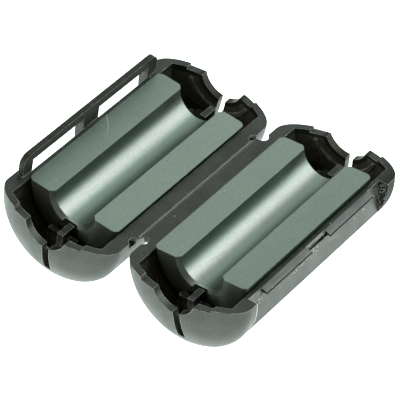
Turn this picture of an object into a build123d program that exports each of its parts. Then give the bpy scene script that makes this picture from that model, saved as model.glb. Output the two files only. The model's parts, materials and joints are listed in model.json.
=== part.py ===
from build123d import *
from math import atan2, cos, radians, sin
import os

os.makedirs("parts", exist_ok=True)

# Clip-on ferrite bead, opened: a hinged plastic case whose two halves each hold a half-round ferrite core.
# Millimetres. Y runs along the cable, X across the two halves, and Z is up from the surface it rests on.
# Each half is drawn level in its own frame: its bore axis is X = 0 and Z = 0, and its hinge lies towards -X.

# Ferrite cores, two alike
ferrite_width = 14.9
ferrite_length = 28.9
bore_diameter = 6.6
ferrite_edge_radius = 0.9
mouth_chamfer = 0.6

# Case halves: straight sides, a round bottom and domed ends
side_wall = 2.05
side_clearance = 0.1
side_depth = 1.15
latch_rim_drop = 0.5
catch_rim_drop = 0.75
end_room = 1.7
dome_length = 4.25
end_wall = 1.1

# Cradle ribs under each core
cradle_clearance = 0.05
cradle_thickness = 1.2
cradle_spacing = 14.2
cradle_top_share = 0.5

# Film hinge: its axis lies above the lands of the latch half and as far below those of the catch half
open_angle = 9.76
hinge_lift = 0.7
land_clearance = 0.05
hinge_gap = 0.87
hinge_length = 25.4
ledge_reach = 0.75
ledge_thickness = 1.0
film_thickness = 0.35
film_relief_radius = 0.85
film_relief_offset = 0.3

# End petals round the cable opening, with a ring rib on their inner faces
opening_clearance = 0.1
petal_span = 11.2
petal_step = 0.4
slot_width = 1.1
slot_depth = 8.2
slot_shift = 0.5
ring_diameter = 9.8
ring_width = 0.4
ring_height = 0.35
ring_drop = 1.9

# Hooks that hold the cores at both ends
hook_width = 2.0
hook_thickness = 1.0
hook_gap = 0.15
hook_top_clearance = 0.08
hook_rib_width = 0.9
hook_rib_length = 1.5
hook_rib_rise = 0.18
hook_bar_width = 4.6
hook_bar_thickness = 0.7
hook_bar_drop = 1.2

# Latch frame on one half
latch_stile_width = 2.0
latch_thickness = 0.85
latch_rise = 2.85
latch_bar_height = 1.35
latch_post_width = 3.3
latch_corner_radius = 1.4
window_length = 11.0

# Catches on the other half
catch_wall = 0.6
latch_clearance = 0.1
latch_end_clearance = 0.3
catch_reach = 1.05
catch_lip = 0.08
catch_play = 0.1
catch_end_clearance = 0.45
relief_height = 0.8
relief_depth = 0.4

# Every cut runs past the faces it opens by this much
overrun = 2.0

# Sizes and places that follow from the ones above
bore_radius = bore_diameter / 2
cavity_half = ferrite_width / 2 + side_clearance
case_half = cavity_half + side_wall
ferrite_end = ferrite_length / 2
straight_half = ferrite_end + end_room
case_end = straight_half + dome_length
round_z = -side_depth
root_z = round_z - cavity_half - side_wall / 2
inner_half = case_half - end_wall
inner_dome = dome_length - end_wall
opening_radius = bore_radius + opening_clearance
recess_x = cavity_half + catch_wall
latch_x = recess_x + latch_clearance
window_top = latch_rise - latch_bar_height
window_centre = (latch_post_width + window_length) / 2
latch_length = latch_post_width + 2 * (window_length + latch_stile_width)
catch_bottom = 2 * land_clearance + catch_play - window_top
catch_length = window_length - 2 * catch_end_clearance
recess_half = latch_length / 2 + latch_end_clearance
case_axis = Axis((0, 0, round_z), (0, 1, 0))

# How a rectangle lies from its place: up in an upright sketch, outward or towards the hinge in a level one
above = (Align.CENTER, Align.MIN)
outward = (Align.MIN, Align.CENTER)
hingeward = (Align.MAX, Align.CENTER)

# Opened, the halves share the opening between them so that both rest on their round bottoms
half_offset = case_half + hinge_gap
latch_land_z = -hinge_lift - land_clearance
catch_land_z = hinge_lift - land_clearance
latch_round_z = latch_land_z + round_z
catch_round_z = catch_land_z + round_z
opening = radians(open_angle)
latch_tilt = atan2(
    half_offset * sin(opening) + catch_round_z * cos(opening) - latch_round_z,
    half_offset * (1 + cos(opening)) - catch_round_z * sin(opening),
)
catch_tilt = opening - latch_tilt
latch_rest_x = half_offset * cos(latch_tilt) - latch_round_z * sin(latch_tilt)
catch_rest_x = half_offset * cos(catch_tilt) - catch_round_z * sin(catch_tilt)
hinge_height = case_half - half_offset * sin(latch_tilt) - latch_round_z * cos(latch_tilt)
hinge_point = ((latch_rest_x - catch_rest_x) / 2, 0, hinge_height)
latch_hinge = Plane(
    hinge_point,
    x_dir=(-cos(latch_tilt), 0, sin(latch_tilt)),
    z_dir=(sin(latch_tilt), 0, cos(latch_tilt)),
)
catch_hinge = Plane(
    hinge_point,
    x_dir=(cos(catch_tilt), 0, sin(catch_tilt)),
    z_dir=(-sin(catch_tilt), 0, cos(catch_tilt)),
)
latch_plane = Plane(latch_hinge * Plane((half_offset, 0, latch_land_z)))
catch_plane = Plane(catch_hinge * Plane((half_offset, 0, catch_land_z)))


def dome_outline(radius, dome, half=False):
    """Plan of a straight body with elliptical ends, or its outer half for turning about the case axis."""
    with BuildSketch(Plane.XY.offset(round_z)) as outline:
        with Locations((0, straight_half), (0, -straight_half)):
            Ellipse(radius, dome)
        Rectangle(2 * radius, 2 * straight_half)
        if half:
            Rectangle(radius, 2 * (straight_half + dome), align=outward, mode=Mode.INTERSECT)
    return outline.sketch


# Space inside a half: a round-bottomed channel for the core, closed by the inner faces of the domes
with BuildPart() as cavity:
    with BuildSketch(Plane.XZ):
        with Locations((0, round_z)):
            Circle(cavity_half)
            Rectangle(2 * cavity_half, side_depth + overrun, align=above)
    extrude(amount=case_end, both=True)
    revolve(dome_outline(inner_half, inner_dome, half=True), axis=case_axis, mode=Mode.INTERSECT)

# Ring rib round the cable opening, on the inner face of each dome
with BuildPart() as ring:
    with BuildSketch(Plane.XZ):
        Circle(ring_diameter / 2 + ring_width)
        Circle(ring_diameter / 2, mode=Mode.SUBTRACT)
    extrude(amount=case_end, both=True)
    middle_half = case_half - end_wall / 2
    middle_dome = dome_length - end_wall / 2
    revolve(dome_outline(middle_half, middle_dome, half=True), axis=case_axis, mode=Mode.INTERSECT)
    bare_half = inner_half - ring_height
    bare_dome = inner_dome - ring_height
    revolve(dome_outline(bare_half, bare_dome, half=True), axis=case_axis, mode=Mode.SUBTRACT)
    split(bisect_by=Plane.XY.offset(-ring_drop), keep=Keep.BOTTOM)

# Hook at one end: a post whose nose lies in the chamfered mouth of the bore
post_face = ferrite_end + hook_gap
post_back = post_face + hook_thickness
nose_top = -bore_radius - hook_top_clearance
with BuildPart() as hook:
    nose_tip = ferrite_end - mouth_chamfer + hook_top_clearance + hook_gap
    nose_root = -bore_radius - mouth_chamfer
    with BuildSketch(Plane.YZ):
        with BuildLine():
            Polyline(
                (post_face, root_z),
                (post_back, root_z),
                (post_back, nose_top),
                (nose_tip, nose_top),
                (post_face, nose_root),
                close=True,
            )
        make_face()
    extrude(amount=hook_width / 2, both=True)


def half_case(rim_drop, slot_x):
    """One half of the case up to its own rim, as both halves have it, before the latch or the catches."""
    rim_plane = Plane.XY.offset(-rim_drop)
    with BuildPart() as half:
        revolve(dome_outline(case_half, dome_length, half=True), axis=case_axis)
        extrude(dome_outline(case_half, dome_length), amount=side_depth)
        add(cavity.part, mode=Mode.SUBTRACT)
        add(ring.part)
        split(bisect_by=rim_plane, keep=Keep.BOTTOM)

        # Cable opening, lowered petal edges and the slot that parts the two petals of each end
        with BuildSketch(Plane.XZ):
            Circle(opening_radius)
        extrude(amount=case_end + overrun, both=True, mode=Mode.SUBTRACT)
        for end in (1, -1):
            inward = (Align.CENTER, Align.MAX if end > 0 else Align.MIN)
            with BuildSketch(rim_plane):
                with Locations((0, end * (case_end + overrun))):
                    Rectangle(petal_span, inner_dome + overrun, align=inward)
            extrude(amount=-petal_step, mode=Mode.SUBTRACT)
            with BuildSketch(rim_plane):
                with Locations((slot_x, end * (case_end + overrun))):
                    Rectangle(slot_width, inner_dome + overrun, align=inward)
            extrude(amount=rim_drop - slot_depth, mode=Mode.SUBTRACT)

        # Cradle ribs that carry the core
        for place in (-cradle_spacing / 2, cradle_spacing / 2):
            with BuildSketch(Plane.XZ.offset(place)):
                with Locations((0, round_z)):
                    Circle(cavity_half + side_wall / 2)
                Circle(ferrite_width / 2 + cradle_clearance, mode=Mode.SUBTRACT)
                with Locations((0, -cradle_top_share * ferrite_width / 2)):
                    Rectangle(2 * case_half, 2 * case_half, align=above, mode=Mode.SUBTRACT)
            extrude(amount=cradle_thickness / 2, both=True)

        # Hooks at both ends, each stiffened by a rib in line with the slot and a crossbar
        add(hook.part)
        mirror(hook.part, about=Plane.XZ)
        rib_y = post_face + (hook_thickness + hook_rib_length) / 2
        with BuildSketch(Plane.XY.offset(root_z)):
            with Locations((slot_x, rib_y), (slot_x, -rib_y)):
                Rectangle(hook_rib_width, hook_thickness + hook_rib_length)
        extrude(amount=nose_top + hook_rib_rise - root_z)
        with BuildSketch(Plane.XY.offset(root_z)):
            with Locations((0, post_back), (0, -post_back)):
                Rectangle(hook_bar_width, hook_bar_thickness)
        extrude(amount=nose_top - hook_bar_drop - root_z)

        # Round reliefs at the ends of the film
        relief_x = -case_half - film_relief_offset
        relief_y = hinge_length / 2 + film_relief_radius
        with BuildSketch(rim_plane):
            with Locations((relief_x, relief_y), (relief_x, -relief_y)):
                Circle(film_relief_radius)
        extrude(amount=-ledge_thickness, mode=Mode.SUBTRACT)
    return half.part


latch_case = half_case(latch_rim_drop, -slot_shift)
catch_case = half_case(catch_rim_drop, slot_shift)

# Half with the latch: a frame with two windows stands on the outer rim
with BuildPart(latch_plane) as latch_half_shell:
    add(latch_case)
    with BuildSketch(latch_plane * Plane.YZ.offset(latch_x)) as latch_frame:
        with Locations((0, -latch_rim_drop - latch_bar_height)):
            Rectangle(latch_length, latch_rise + latch_rim_drop + latch_bar_height, align=above)
        fillet(latch_frame.vertices().group_by(Axis.Z)[-1], latch_corner_radius)
        with Locations((-window_centre, -latch_rim_drop), (window_centre, -latch_rim_drop)):
            Rectangle(window_length, window_top + latch_rim_drop, align=above, mode=Mode.SUBTRACT)
    extrude(amount=latch_thickness)
    # The wall under each window stands back flush with the frame's inner face
    with BuildSketch(latch_plane * Plane.XY.offset(-latch_rim_drop)):
        with Locations((latch_x, -window_centre), (latch_x, window_centre)):
            Rectangle(side_wall, window_length, align=outward)
    extrude(amount=-(case_half + overrun), mode=Mode.SUBTRACT)

# Half with the catches: a flat recess takes the frame, and two wedges snap into its windows
with BuildPart(catch_plane) as catch_half_shell:
    add(catch_case)
    with BuildSketch(catch_plane * Plane.XY.offset(-catch_rim_drop)):
        with Locations((recess_x, 0)):
            Rectangle(side_wall, 2 * recess_half, align=outward)
    extrude(amount=-(case_half + overrun), mode=Mode.SUBTRACT)
    with BuildSketch(catch_plane * Plane.YZ.offset(recess_x)):
        with Locations((0, catch_bottom)):
            Rectangle(2 * window_centre, relief_height, align=(Align.CENTER, Align.MAX))
    extrude(amount=-relief_depth, mode=Mode.SUBTRACT)
    for place in (-window_centre, window_centre):
        with BuildSketch(catch_plane * Plane.XZ.offset(place)):
            with BuildLine():
                Polyline(
                    (recess_x - catch_wall / 2, -catch_rim_drop),
                    (recess_x, -catch_rim_drop),
                    (recess_x + catch_reach, catch_bottom + catch_lip),
                    (recess_x + catch_reach, catch_bottom),
                    (recess_x - catch_wall / 2, catch_bottom),
                    close=True,
                )
            make_face()
        extrude(amount=catch_length / 2, both=True)
    # Ledge that carries the film, level with the rim
    with BuildSketch(catch_plane * Plane.XY.offset(-catch_rim_drop)):
        with Locations((side_wall / 2 - case_half, 0)):
            Rectangle(ledge_reach + side_wall / 2, hinge_length, align=hingeward)
    extrude(amount=-ledge_thickness)

# Ferrite core: a half ring with chamfered bore mouths and rounded outer ends
with BuildPart() as core:
    with BuildSketch(Plane.XZ):
        Circle(ferrite_width / 2)
        Circle(bore_radius, mode=Mode.SUBTRACT)
        Rectangle(ferrite_width, ferrite_width, align=above, mode=Mode.SUBTRACT)
    extrude(amount=ferrite_length / 2, both=True)
    end_arcs = core.edges().filter_by(GeomType.CIRCLE)
    chamfer(end_arcs.group_by(SortBy.RADIUS)[0], mouth_chamfer)
    fillet(end_arcs.group_by(SortBy.RADIUS)[-1], ferrite_edge_radius)

with BuildPart(latch_plane) as latch_half_ferrite:
    add(core.part)

with BuildPart(catch_plane) as catch_half_ferrite:
    add(core.part)

# Film from the latch half's rim to the ledge of the catch half
with BuildPart() as hinge_film:
    latch_edge = (-case_half, 0, -latch_rim_drop)
    catch_edge = (-case_half - ledge_reach, 0, -catch_rim_drop)
    film_edges = []
    for half_plane, edge, levels in (
        (latch_plane, latch_edge, (0, -film_thickness)),
        (catch_plane, catch_edge, (-film_thickness, 0)),
    ):
        for level in levels:
            corner = half_plane.from_local_coords((edge[0], 0, edge[2] + level))
            film_edges.append((corner.X, corner.Z))
    with BuildSketch(Plane.XZ):
        with BuildLine():
            Polyline(*film_edges, close=True)
        make_face()
    extrude(amount=hinge_length / 2, both=True)

latch_half_shell.part.label = "latch_half_shell"
catch_half_shell.part.label = "catch_half_shell"
latch_half_ferrite.part.label = "latch_half_ferrite"
catch_half_ferrite.part.label = "catch_half_ferrite"
hinge_film.part.label = "hinge_film"

for piece in (latch_half_shell, catch_half_shell, latch_half_ferrite, catch_half_ferrite, hinge_film):
    export_step(piece.part, f"parts/{piece.part.label}.step")
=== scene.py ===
import json
from math import atan2, degrees, radians

import bmesh
import bpy
from mathutils import Matrix, Vector


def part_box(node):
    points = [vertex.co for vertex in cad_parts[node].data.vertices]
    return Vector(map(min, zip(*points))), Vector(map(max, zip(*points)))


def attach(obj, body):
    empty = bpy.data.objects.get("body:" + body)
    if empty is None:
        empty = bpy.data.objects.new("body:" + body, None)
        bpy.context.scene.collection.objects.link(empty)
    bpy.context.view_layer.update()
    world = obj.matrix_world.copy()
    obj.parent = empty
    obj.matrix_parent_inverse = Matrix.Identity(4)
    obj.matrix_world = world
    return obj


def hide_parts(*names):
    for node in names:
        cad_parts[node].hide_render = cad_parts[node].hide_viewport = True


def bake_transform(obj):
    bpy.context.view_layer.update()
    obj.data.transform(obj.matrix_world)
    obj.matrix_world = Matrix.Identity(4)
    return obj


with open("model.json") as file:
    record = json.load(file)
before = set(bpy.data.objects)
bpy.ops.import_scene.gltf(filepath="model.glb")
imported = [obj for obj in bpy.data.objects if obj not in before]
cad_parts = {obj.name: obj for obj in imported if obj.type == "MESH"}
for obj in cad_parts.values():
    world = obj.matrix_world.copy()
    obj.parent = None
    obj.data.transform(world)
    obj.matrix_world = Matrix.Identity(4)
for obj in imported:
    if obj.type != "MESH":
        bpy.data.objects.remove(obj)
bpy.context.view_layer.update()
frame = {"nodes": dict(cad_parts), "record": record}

# Latch half of the case: the half shell with the two-window frame along its outer rim.
# It is one injection moulding in black nylon, with crisp parting edges and a satin skin.
# The frame springs outward and snaps over the catches of the other half.
MM = 0.001
latch_tilt = 8.668
bores = {mount["name"]: Vector(mount["pos_m"]) for mount in frame["record"]["mounts"]}
merge_distance = 0.002 * MM
sharpest_smooth_angle = radians(28)
grain_strength = 0.3
edge_samples = 6


def moulded_copy(node, name):
    """A copy of a CAD node's mesh with its doubles merged and its round faces smooth."""
    mesh = bpy.data.meshes.new(name)
    bm = bmesh.new()
    bm.from_mesh(frame["nodes"][node].data)
    bmesh.ops.remove_doubles(bm, verts=bm.verts, dist=merge_distance)
    for face in bm.faces:
        face.smooth = True
    bm.to_mesh(mesh)
    bm.free()
    if "custom_normal" in mesh.attributes:
        mesh.attributes.remove(mesh.attributes["custom_normal"])
    mesh.set_sharp_from_angle(angle=sharpest_smooth_angle)
    piece = bpy.data.objects.new(name, mesh)
    bpy.context.scene.collection.objects.link(piece)
    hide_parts(node)
    return piece


class Finish:
    """One material, laid out in millimetres from the centre of its piece and tilted with it.

    X runs across the piece, Y along the cable and Z up off the lands. A mask is a value from 0 to 1.
    """

    def __init__(self, name, centre, tilt):
        self.material = bpy.data.materials.new(name)
        self.material.use_nodes = True
        self.tree = self.material.node_tree
        self.shader = self.tree.nodes["Principled BSDF"]
        from_object = self.add("ShaderNodeTexCoord")
        from_centre = self.add("ShaderNodeMapping")
        from_centre.vector_type = "TEXTURE"
        from_centre.inputs["Location"].default_value = centre
        from_centre.inputs["Rotation"].default_value = (0, radians(tilt), 0)
        from_centre.inputs["Scale"].default_value = (MM, MM, MM)
        self.join(from_object.outputs["Object"], from_centre.inputs["Vector"])
        self.place = from_centre.outputs["Vector"]
        axes = self.add("ShaderNodeSeparateXYZ")
        self.join(self.place, axes.inputs["Vector"])
        self.x, self.y, self.z = axes.outputs

    def add(self, kind):
        return self.tree.nodes.new(kind)

    def join(self, output, node_input):
        self.tree.links.new(output, node_input)

    def maths(self, how, first, second=0.0):
        """One sum of two values; either may be a number."""
        node = self.add("ShaderNodeMath")
        node.operation = how
        for value, socket in zip((first, second), node.inputs):
            if isinstance(value, (int, float)):
                socket.default_value = value
            else:
                self.join(value, socket)
        return node.outputs["Value"]

    def all_of(self, *masks):
        """Product of several masks."""
        product = masks[0]
        for mask in masks[1:]:
            product = self.maths("MULTIPLY", product, mask)
        return product

    def either(self, first, second):
        """The greater of two masks."""
        return self.maths("MAXIMUM", first, second)

    def parts(self, first, second, share):
        """A share of the first value and the rest of the second."""
        first_part = self.maths("MULTIPLY", first, share)
        return self.maths("ADD", first_part, self.maths("MULTIPLY", second, 1 - share))

    def far(self, value):
        """Distance to either side of the middle."""
        return self.maths("ABSOLUTE", value)

    def reach(self, first, second):
        """Distance that two values at a right angle make."""
        squares = self.maths("POWER", first, 2.0), self.maths("POWER", second, 2.0)
        return self.maths("SQRT", self.maths("ADD", *squares))

    def ramp(self, value, start, end, low=0.0, high=1.0):
        """Value from low to high as the input goes from start to end."""
        node = self.add("ShaderNodeMapRange")
        node.inputs["From Min"].default_value = start
        node.inputs["From Max"].default_value = end
        node.inputs["To Min"].default_value = low
        node.inputs["To Max"].default_value = high
        self.join(value, node.inputs["Value"])
        return node.outputs["Result"]

    def past(self, value, limit, soft):
        """Mask of what lies past a limit."""
        return self.ramp(value, limit - soft, limit + soft)

    def short_of(self, value, limit, soft):
        """Mask of what lies short of a limit."""
        return self.ramp(value, limit + soft, limit - soft)

    def band(self, value, start, end, soft):
        """Mask that is 1 from start to end and fades to 0 over a soft edge on both sides."""
        return self.all_of(self.ramp(value, start - soft, start), self.ramp(value, end + soft, end))

    def block(self, *bands):
        """Mask of the space that several bands share, each given as its value, start, end and soft edge."""
        return self.all_of(*(self.band(*limits) for limits in bands))

    def noise(self, waves, detail=4.0, roughness=0.55, stretch=(1, 1, 1)):
        """Noise with that many waves to the millimetre, drawn out where stretch is small."""
        drawn = self.add("ShaderNodeMapping")
        drawn.inputs["Scale"].default_value = stretch
        self.join(self.place, drawn.inputs["Vector"])
        node = self.add("ShaderNodeTexNoise")
        node.inputs["Scale"].default_value = waves
        node.inputs["Detail"].default_value = detail
        node.inputs["Roughness"].default_value = roughness
        self.join(drawn.outputs["Vector"], node.inputs["Vector"])
        return node.outputs["Fac"]

    def specks(self, cells, size, share):
        """Mask of scattered specks: cells to the millimetre, size in millimetres, share of filled cells."""
        node = self.add("ShaderNodeTexVoronoi")
        node.inputs["Scale"].default_value = cells
        self.join(self.place, node.inputs["Vector"])
        split = self.add("ShaderNodeSeparateColor")
        self.join(node.outputs["Color"], split.inputs["Color"])
        chosen = self.ramp(split.outputs["Red"], 1 - share, 1 - 0.9 * share)
        return self.all_of(chosen, self.ramp(node.outputs["Distance"], size * cells, 0.5 * size * cells))

    def rounded(self, reach):
        """The surface's direction with its sharp edges rounded off within the reach."""
        node = self.add("ShaderNodeBevel")
        node.samples = edge_samples
        node.inputs["Radius"].default_value = reach
        return node.outputs["Normal"]

    def edge(self, reach, start, end):
        """Mask of the sharp edges: 1 on an edge, 0 further from it than the reach."""
        flat = self.add("ShaderNodeNewGeometry")
        along = self.add("ShaderNodeVectorMath")
        along.operation = "DOT_PRODUCT"
        self.join(self.rounded(reach), along.inputs[0])
        self.join(flat.outputs["Normal"], along.inputs[1])
        return self.ramp(along.outputs["Value"], start, end)

    def mix(self, mask, first, second):
        """Colour that goes from first to second as the mask grows; either may be a colour or an output."""
        node = self.add("ShaderNodeMix")
        node.data_type = "RGBA"
        self.join(mask, node.inputs["Factor"])
        sockets = [socket for socket in node.inputs if socket.type == "RGBA"]
        for colour, socket in zip((first, second), sockets):
            if isinstance(colour, tuple):
                socket.default_value = (*colour, 1.0)
            else:
                self.join(colour, socket)
        return [socket for socket in node.outputs if socket.type == "RGBA"][0]

    def tone(self, mask, colour):
        """Lay a colour over the one so far, where the mask is."""
        self.colour = self.mix(mask, self.colour, colour)

    def dull(self, mask, left):
        """Take the shine down to the part that is left of it, where the mask is."""
        self.shine = self.all_of(self.shine, self.ramp(mask, 0, 1, 1.0, left))

    def paint(self, depth, edge_round=0.0):
        """Join colour, roughness, shine and height to the shader; sharp edges may catch light as if round."""
        self.join(self.colour, self.shader.inputs["Base Color"])
        self.join(self.roughness, self.shader.inputs["Roughness"])
        self.join(self.shine, self.shader.inputs["Specular IOR Level"])
        bump = self.add("ShaderNodeBump")
        bump.inputs["Strength"].default_value = grain_strength
        bump.inputs["Distance"].default_value = depth
        self.join(self.height, bump.inputs["Height"])
        if edge_round:
            self.join(self.rounded(edge_round), bump.inputs["Normal"])
        self.join(bump.outputs["Normal"], self.shader.inputs["Normal"])


# The nylon's marks lie in millimetres from the bore axis, and a pair is where a mark starts and ends.
nylon_ior = 1.53
nylon_grain = 0.02 * MM
nylon_edge_round = 0.08 * MM
highlit_edge_width = 0.14 * MM
deep_black = (0.008, 0.009, 0.008)
cloudy_black = (0.022, 0.024, 0.021)
hollow_painted_light_brown = (0.030, 0.027, 0.019)
hollow_brighter_painted_light = (0.085, 0.080, 0.062)
edge_highlight_grey = (0.52, 0.53, 0.51)
hollow_edge_highlight_grey = (0.85, 0.85, 0.78)
dust_white = (0.60, 0.61, 0.59)
nose_shade_black = (0.004, 0.004, 0.003)
mouth_black = (0.022, 0.020, 0.014)
mouth_edge_highlight_grey = (0.30, 0.30, 0.27)
wall_middle = 8.7
dome_start = 17.5
dome_end = 20.5
dome_closing = 6.15
mouth_radius = 4.0
mouth_start = 18.3
hook_half_width = 2.5
hook_end = 16.5
hook_foot = -5.5
nose_half_width = 1.02
nose_run = (13.8, 15.7)
nose_height = (-4.2, -3.3)
hollow_start = 13.95
hollow_top = -1.6
core_shadow_half_width = 6.3
core_shadow_run = (14.4, 17.3)
core_shadow_top = -3.525


def black_nylon(name, bore, tilt):
    """Satin black nylon as moulded: a cloudy skin, dust and dull hooks, with painted light in the hollows,
    pale edges that are partly wear and partly painted highlight, painted shade on the hook noses and a
    painted shadow that dulls the shine behind the cores.
    """
    m = Finish(name, bore, tilt)
    m.shader.inputs["IOR"].default_value = nylon_ior
    m.height = m.noise(waves=9.0, detail=3.0, roughness=0.6)
    radius = m.reach(m.x, m.z)
    off_axis = m.far(m.x)
    off_middle = m.far(m.y)

    cloud = m.noise(waves=0.3)
    mottled = m.parts(cloud, m.noise(waves=1.5, roughness=0.7), share=0.5)
    m.colour = m.mix(m.ramp(mottled, 0.38, 0.62), deep_black, cloudy_black)

    skin = m.maths("ADD", radius, m.ramp(off_middle, dome_start, dome_end, 0.0, dome_closing))
    under_skin = m.short_of(skin, wall_middle, soft=0.05)
    hooks = m.all_of(
        m.short_of(off_axis, hook_half_width, soft=0.1),
        m.short_of(off_middle, hook_end, soft=0.1),
        m.past(m.z, hook_foot, soft=0.1),
    )
    hollow = m.all_of(
        under_skin,
        m.past(off_middle, hollow_start, soft=0.05),
        m.short_of(m.z, hollow_top, soft=0.1),
        m.past(radius, mouth_radius, soft=0.1),
        m.short_of(hooks, 0.5, soft=0.5),
    )
    # Painted light: the hollows inside the shell get a lighter, patchy brown in place of the light that
    # reaches in.
    hollow_light_patches = m.ramp(m.noise(waves=1.3, roughness=0.7), 0.35, 0.7)
    m.tone(hollow, m.mix(hollow_light_patches, hollow_painted_light_brown, hollow_brighter_painted_light))

    # Painted highlight: the sharp edges are lightened into pale lines, in patches along their length. This is
    # partly wear and partly light caught on the edges.
    rubbed = m.ramp(m.noise(waves=0.9), 0.38, 0.58, low=0.30, high=1.0)
    highlit_edges = m.all_of(m.edge(highlit_edge_width, start=0.98, end=0.78), rubbed)
    m.tone(highlit_edges, m.mix(hollow, edge_highlight_grey, hollow_edge_highlight_grey))

    drifts = m.ramp(m.noise(waves=0.25, detail=2.0), 0.45, 0.6, low=0.15, high=1.0)
    cleaner_domes = m.ramp(off_middle, 15.5, 16.5, low=1.0, high=0.4)
    m.tone(m.all_of(m.specks(cells=2.0, size=0.09, share=0.10), drifts, cleaner_domes), dust_white)

    # Painted shade: the hook noses at the ends of the bores are near black and dull for the shade they sit
    # in.
    shaded_noses = m.block(
        (off_axis, 0.0, nose_half_width, 0.02), (off_middle, *nose_run, 0.02), (m.z, *nose_height, 0.04)
    )
    m.tone(shaded_noses, nose_shade_black)
    core_shadow = m.all_of(
        under_skin,
        m.short_of(off_axis, core_shadow_half_width, soft=0.1),
        m.band(off_middle, *core_shadow_run, soft=0.05),
        m.short_of(m.z, core_shadow_top, soft=0.075),
    )
    back_mouth = m.all_of(m.short_of(radius, mouth_radius, soft=0.1), m.past(m.y, mouth_start, soft=0.1))
    m.tone(back_mouth, m.mix(highlit_edges, mouth_black, mouth_edge_highlight_grey))

    m.roughness = m.ramp(cloud, 0.3, 0.7, low=0.34, high=0.50)
    smudges = m.ramp(m.noise(waves=0.45, detail=5.0, roughness=0.6), 0.3, 0.7, low=0.36, high=0.50)
    broad_change = m.ramp(m.noise(waves=0.14, detail=2.0), 0.35, 0.65, low=0.86, high=1.12)
    m.shine = m.all_of(smudges, broad_change)
    m.dull(shaded_noses, left=0.15)
    m.dull(core_shadow, left=0.35)
    m.dull(back_mouth, left=0.25)
    m.dull(hooks, left=0.55)
    return m


handled_brown = (0.034, 0.032, 0.024)
fleck_grey = (0.40, 0.40, 0.38)
latch_nylon = black_nylon("latch_half_nylon", bores["latch_half_bore"], latch_tilt)
frame_foot = 0.35
latch_frame = latch_nylon.past(latch_nylon.z, frame_foot, soft=0.15)
handled = latch_nylon.ramp(latch_nylon.noise(waves=1.4, roughness=0.7), 0.35, 0.7)
flecks = latch_nylon.specks(cells=2.4, size=0.08, share=0.10)
latch_nylon.tone(latch_nylon.all_of(latch_frame, handled), handled_brown)
latch_nylon.tone(latch_nylon.all_of(latch_frame, flecks), fleck_grey)
latch_nylon.dull(latch_frame, left=0.38)
latch_nylon.paint(nylon_grain, nylon_edge_round)
latch_shell = moulded_copy("latch_half_shell", "latch_case_half")
latch_shell.data.materials.append(latch_nylon.material)
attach(latch_shell, "latch_half")

# Catch half of the case: the other half of the same moulding, with two wedges in a flat recess.
# The wedges' ramps are rubbed along their length and dust has settled below them.
# A painted shadow runs under the wedges and their end faces are painted shade, a painted highlight runs down
# the recess's front step, and one end of the recess keeps the rough skin of the eroded mould, painted near
# black for its shade.
catch_tilt = -1.092
catch_run = (2.0, 12.3)
crisp = 0.02
rubbed_grey = (0.25, 0.26, 0.265)
painted_shadow_black = (0.012, 0.012, 0.011)
wedge_end_shade_black = (0.006, 0.006, 0.004)
settled_dust = (0.55, 0.56, 0.54)
step_highlight_grey = (0.45, 0.46, 0.45)
eroded_shade_black = (0.005, 0.004, 0.003)
pit_rim_grey = (0.34, 0.34, 0.31)
catch_nylon = black_nylon("catch_half_nylon", bores["catch_half_bore"], catch_tilt)
outward = catch_nylon.x
along = catch_nylon.y
off_middle = catch_nylon.far(along)
over_land = catch_nylon.z

ramp_outward = (8.16, 9.4)
ramp_height = (-1.30, -0.7)
ramps = catch_nylon.block(
    (outward, *ramp_outward, crisp), (off_middle, *catch_run, crisp), (over_land, *ramp_height, crisp)
)
rubbing = catch_nylon.noise(waves=2.2, detail=5.0, roughness=0.65, stretch=(2.5, 0.22, 2.5))
streaks = catch_nylon.ramp(rubbing, 0.2, 0.9, low=0.1, high=0.8)
catch_nylon.tone(catch_nylon.all_of(ramps, streaks), rubbed_grey)

# Painted shadow: a dark line along the wedges' lower lips and a dark band on the wall below them, where the
# wedges cast their shade.
lip_outward = 8.65
lip_height = (-1.34, -1.16)
catch_lip_shadow = catch_nylon.all_of(
    catch_nylon.past(outward, lip_outward, soft=0.05),
    catch_nylon.block((off_middle, *catch_run, crisp), (over_land, *lip_height, crisp)),
)
shadow_outward = (7.6, 8.5)
shadow_height = (-2.0, -1.3)
under_catch_shadow = catch_nylon.block(
    (outward, *shadow_outward, 0.05), (off_middle, *catch_run, 0.1), (over_land, *shadow_height, 0.06)
)
shaded = catch_nylon.either(catch_lip_shadow, under_catch_shadow)
catch_nylon.tone(shaded, painted_shadow_black)

# Painted shade: the end faces of the wedges are near black and dull.
wedge_outward = (8.2, 9.6)
wedge_height = (-1.9, -0.6)
front_wedge_end = (-12.24, -12.16)
back_wedge_end = (2.06, 2.14)
shaded_wedge_ends = catch_nylon.all_of(
    catch_nylon.block((outward, *wedge_outward, crisp), (over_land, *wedge_height, crisp)),
    catch_nylon.either(
        catch_nylon.band(along, *front_wedge_end, crisp), catch_nylon.band(along, *back_wedge_end, crisp)
    ),
)
catch_nylon.tone(shaded_wedge_ends, wedge_end_shade_black)

recess_outward = 7.4
recess_end = 14.7
dust_height = (-3.4, -1.6)
settled = catch_nylon.all_of(
    catch_nylon.past(outward, recess_outward, soft=0.2),
    catch_nylon.short_of(off_middle, recess_end, soft=0.2),
    catch_nylon.band(over_land, *dust_height, soft=0.5),
    catch_nylon.ramp(catch_nylon.noise(waves=0.5, detail=2.0), 0.42, 0.56),
    catch_nylon.specks(cells=2.8, size=0.11, share=0.3),
)
catch_nylon.tone(settled, settled_dust)

# Painted highlight: a pale line down the edge of the recess's front step.
step_highlight_outward = 9.1
step_highlight_line = (-15.06, -14.93)
step_highlight_height = (-4.6, -1.0)
step_edge_highlight = catch_nylon.all_of(
    catch_nylon.past(outward, step_highlight_outward, soft=0.2),
    catch_nylon.block((along, *step_highlight_line, 0.03), (over_land, *step_highlight_height, 0.4)),
)
catch_nylon.tone(step_edge_highlight, step_highlight_grey)

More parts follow.
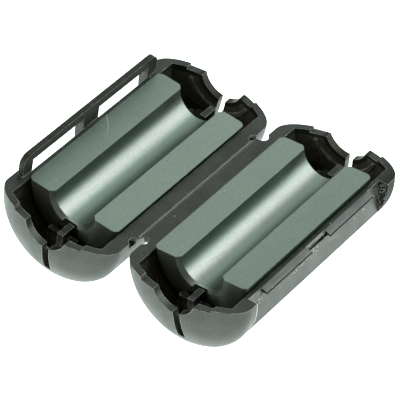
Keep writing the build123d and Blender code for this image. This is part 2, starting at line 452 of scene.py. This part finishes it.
# The eroded end face of the recess keeps its rough pitted skin, and it is painted near black as shade.
eroded_outward = (7.9, 9.8)
eroded_end = (14.85, 15.05)
eroded_height = (-8.0, -0.8)
eroded = catch_nylon.block(
    (outward, *eroded_outward, crisp), (along, *eroded_end, 0.05), (over_land, *eroded_height, crisp)
)
pit_rims = catch_nylon.ramp(catch_nylon.noise(waves=3.6, detail=3.0, roughness=0.8), 0.54, 0.62)
catch_nylon.tone(eroded, eroded_shade_black)
catch_nylon.tone(catch_nylon.all_of(eroded, pit_rims), pit_rim_grey)

far_end_start = 15.1
far_corner = (6.5, 9.0)
far_end = catch_nylon.all_of(
    catch_nylon.past(along, far_end_start, soft=0.1), catch_nylon.ramp(outward, *far_corner)
)
far_roughness = catch_nylon.ramp(far_end, 0, 1, low=0.0, high=0.3)
catch_nylon.roughness = catch_nylon.maths("ADD", catch_nylon.roughness, far_roughness)
catch_nylon.dull(catch_nylon.either(eroded, shaded_wedge_ends), left=0.12)
catch_nylon.dull(shaded, left=0.3)
catch_nylon.dull(far_end, left=0.45)
catch_nylon.paint(nylon_grain, nylon_edge_round)
catch_shell = moulded_copy("catch_half_shell", "catch_case_half")
catch_shell.data.materials.append(catch_nylon.material)
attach(catch_shell, "catch_half")

# Film hinge: the thin web of the same nylon that joins the halves.
# It is moulded with them in one shot, and a pale band is painted along the crease on its upper side.
film_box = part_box("hinge_film")
film_low = Vector(film_box[0])
film_high = Vector(film_box[1])
film_span = film_high - film_low
film_thickness = 0.35 * MM
film_tilt = -degrees(atan2(film_span.z - film_thickness, film_span.x))
film_black = (0.030, 0.032, 0.030)
pale_crease_grey = (0.24, 0.25, 0.24)
pale_crease_white = (0.44, 0.45, 0.44)
film_nylon = Finish("film_nylon", (film_low + film_high) / 2, film_tilt)
film_streaks = film_nylon.noise(waves=1.5, roughness=0.6, stretch=(3.0, 0.3, 3.0))
pale_crease_colour = film_nylon.mix(film_nylon.ramp(film_streaks, 0.3, 0.7), pale_crease_grey, pale_crease_white)
upper_side = film_nylon.past(film_nylon.z, 0.05, soft=0.05)
crease_across = (-0.25, 0.2)
crease = film_nylon.all_of(upper_side, film_nylon.band(film_nylon.x, *crease_across, soft=0.2))
film_nylon.colour = film_nylon.mix(crease, film_black, pale_crease_colour)
film_nylon.roughness = film_nylon.ramp(film_streaks, 0.3, 0.7, low=0.45, high=0.6)
film_nylon.shine = film_nylon.ramp(film_streaks, 0.3, 0.7, low=0.4, high=0.5)
film_nylon.height = film_streaks
film_nylon.paint(nylon_grain)
film = moulded_copy("hinge_film", "film_web")
film.data.materials.append(film_nylon.material)
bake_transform(film)

# Ferrite cores: two half rings pressed and sintered from nickel-zinc ferrite powder, held by the hooks.
# Their lands are ground flat so that they meet without a gap, and the lands' edges are chipped.
# The bores are satin with a fine grain, and the sides and ends are left dark from the kiln.
ferrite_ior = 2.8
ferrite_grain = 0.035 * MM
chip_width = 0.14 * MM
side_radius = 7.4
land_level = -0.045
bore_end = (13.8, 14.3)
ground_dark = (0.022, 0.052, 0.038)
ground_light = (0.052, 0.094, 0.074)
bore_green = (0.004, 0.009, 0.006)
kiln_brown = (0.030, 0.029, 0.021)
speck_white = (0.75, 0.76, 0.74)
chip_grey = (0.45, 0.47, 0.45)
scratch_grey = (0.5, 0.52, 0.5)
bore_tint = (0.83, 1.0, 0.91)
glare_tint = (1.0, 1.0, 1.0)
land_tint = (0.95, 1.0, 0.96)


def sintered_ferrite(name, bore, tilt):
    """Greenish grey ferrite: satin, with fine grain, faint clouds, dust and small chips, and a bore shine
    shaped by place as a painted highlight.
    """
    m = Finish(name, bore, tilt)
    m.shader.inputs["IOR"].default_value = ferrite_ior
    m.height = m.noise(waves=3.0, roughness=0.75)
    radius = m.reach(m.x, m.z)
    land = m.past(m.z, land_level, soft=0.015)

    cloud = m.noise(waves=0.25, detail=5.0, roughness=0.6)
    mottled = m.parts(cloud, m.noise(waves=1.6, detail=3.0, roughness=0.7), share=0.4)
    ground = m.mix(m.ramp(mottled, 0.35, 0.65), ground_dark, ground_light)
    fired = m.mix(m.ramp(m.far(m.y), *bore_end), bore_green, kiln_brown)
    m.colour = m.mix(land, fired, ground)
    m.tone(m.specks(cells=0.9, size=0.07, share=0.04), speck_white)
    chipped = m.ramp(m.noise(waves=1.7, roughness=0.6), 0.60, 0.66)
    m.tone(m.all_of(m.edge(chip_width, start=0.97, end=0.80), chipped), chip_grey)

    m.roughness = m.ramp(m.height, 0.3, 0.7, low=0.34, high=0.48)
    # Painted highlight: the bore's shine is shaped by place. It is highest on the floor, lower up the walls
    # and fading towards the back.
    left_wall = m.ramp(m.x, -3.3, -2.3, low=0.42, high=1.0)
    bore_floor = m.ramp(m.x, -1.3, -0.5, low=1.05, high=1.22)
    right_wall = m.ramp(m.x, 0.0, 1.3, low=1.0, high=0.56)
    towards_back = m.ramp(m.y, -12.0, 12.0, low=1.0, high=0.89)
    painted_bore_highlight = m.all_of(left_wall, bore_floor, right_wall, towards_back)
    sparkle = m.ramp(m.noise(waves=2.4, detail=3.0, roughness=0.75), 0.3, 0.7, low=0.90, high=1.10)
    m.shine = m.all_of(m.either(painted_bore_highlight, land), m.ramp(land, 0, 1, low=0.5, high=0.45), sparkle)
    m.dull(m.past(radius, side_radius, soft=0.02), left=0.12)
    glare = m.band(m.x, -2.05, -1.4, soft=0.9)
    tint = m.mix(land, m.mix(glare, bore_tint, glare_tint), land_tint)
    m.join(tint, m.shader.inputs["Specular Tint"])
    return m


latch_ferrite = sintered_ferrite("latch_core_ferrite", bores["latch_half_bore"], latch_tilt)
catch_ferrite = sintered_ferrite("catch_core_ferrite", bores["catch_half_bore"], catch_tilt)
scratch_centre = (-12.9, -4.8)
scratch_line = (8.98, 9.02)
scratch_across = (-7.4, -4.9)
scratch_arc = latch_ferrite.reach(
    latch_ferrite.maths("SUBTRACT", latch_ferrite.x, scratch_centre[0]),
    latch_ferrite.maths("SUBTRACT", latch_ferrite.y, scratch_centre[1]),
)
scratch = latch_ferrite.all_of(
    latch_ferrite.band(scratch_arc, *scratch_line, soft=0.04),
    latch_ferrite.band(latch_ferrite.x, *scratch_across, soft=0.3),
    latch_ferrite.past(latch_ferrite.z, -0.075, soft=0.025),
    latch_ferrite.ramp(latch_ferrite.y, -1.5, 2.0, low=0.1, high=0.8),
)
latch_ferrite.tone(scratch, scratch_grey)
# Painted shade: each core's lands lose some shine towards one side.
latch_ferrite.dull(latch_ferrite.ramp(latch_ferrite.x, -1.0, -5.5), left=0.78)
catch_ferrite.dull(catch_ferrite.ramp(catch_ferrite.x, 1.0, 5.5), left=0.86)
for half, ferrite in (("latch", latch_ferrite), ("catch", catch_ferrite)):
    ferrite.paint(ferrite_grain)
    core = moulded_copy(f"{half}_half_ferrite", f"{half}_core")
    core.data.materials.append(ferrite.material)
    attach(core, f"{half}_half")

# Floor: a broad white light table under the part.
# It is lit from below and above, so that the part stands on plain white.
studio_white = (0.88, 1.0, 0.935)
table_grey = (0.5, 0.5, 0.5)
table_half_width = 3.0
table_roughness = 0.8
table_glow = 2.2
floor_mesh = bpy.data.meshes.new("light_table")
bm = bmesh.new()
bmesh.ops.create_grid(bm, x_segments=1, y_segments=1, size=table_half_width)
bm.to_mesh(floor_mesh)
bm.free()
floor = bpy.data.objects.new("light_table", floor_mesh)
bpy.context.scene.collection.objects.link(floor)
table = bpy.data.materials.new("light_table_white")
table.use_nodes = True
table_shader = table.node_tree.nodes["Principled BSDF"]
table_shader.inputs["Base Color"].default_value = (*table_grey, 1)
table_shader.inputs["Roughness"].default_value = table_roughness
table_shader.inputs["Emission Color"].default_value = (*studio_white, 1)
table_shader.inputs["Emission Strength"].default_value = table_glow
floor_mesh.materials.append(table)

# Studio light: a dim room, a wide soft box at the back on the right that runs along the bores,
# another at the back on the left that lights the lands, and a weaker one in front for the back petals.
room_warm = (1.0, 0.98, 0.84)
room_glow = 0.18
aim = Vector((0, 0, 0.01))
world = bpy.data.worlds.new("dim_room")
world.use_nodes = True
world.node_tree.nodes["Background"].inputs["Color"].default_value = (*room_warm, 1)
world.node_tree.nodes["Background"].inputs["Strength"].default_value = room_glow
bpy.context.scene.world = world
bpy.context.scene.view_settings.view_transform = "Standard"


def soft_box(name, direction, distance, size, watts):
    """A square area light that looks at the part from a direction."""
    lamp = bpy.data.lights.new(name, "AREA")
    lamp.size = size
    lamp.energy = watts
    lamp.color = studio_white
    light = bpy.data.objects.new(name, lamp)
    towards = Vector(direction).normalized()
    light.location = aim + towards * distance
    light.rotation_euler = towards.to_track_quat("Z", "Y").to_euler()
    bpy.context.scene.collection.objects.link(light)


soft_box("back_right_box", (0.56, 0.62, 0.54), distance=0.6, size=0.58, watts=4.7)
soft_box("back_left_box", (-0.45, 0.62, 0.64), distance=0.7, size=0.7, watts=1.45)
soft_box("front_left_box", (-0.45, -0.79, 0.42), distance=0.7, size=0.6, watts=2.4)

# Camera: a long lens from the front right, above the open case.
# It looks down into both bores from about four hundred millimetres away.
camera_place = Vector((0.18292876, -0.25212454, 0.26825125))
camera_back = Vector((0.45019547, -0.62039724, 0.64220814))
camera_up = Vector((-0.38813395, 0.51175352, 0.76645964))
camera_right = camera_up.cross(camera_back)
camera_turn = Matrix((camera_right, camera_up, camera_back)).transposed().to_4x4()
camera_data = bpy.data.cameras.new("camera")
camera_data.sensor_width = 36.0
camera_data.lens = 272.381
camera_data.clip_start = 0.05
camera_data.clip_end = 20.0
camera = bpy.data.objects.new("camera", camera_data)
camera.matrix_world = Matrix.Translation(camera_place) @ camera_turn
bpy.context.scene.collection.objects.link(camera)
bpy.context.scene.camera = camera

bpy.context.view_layer.update()
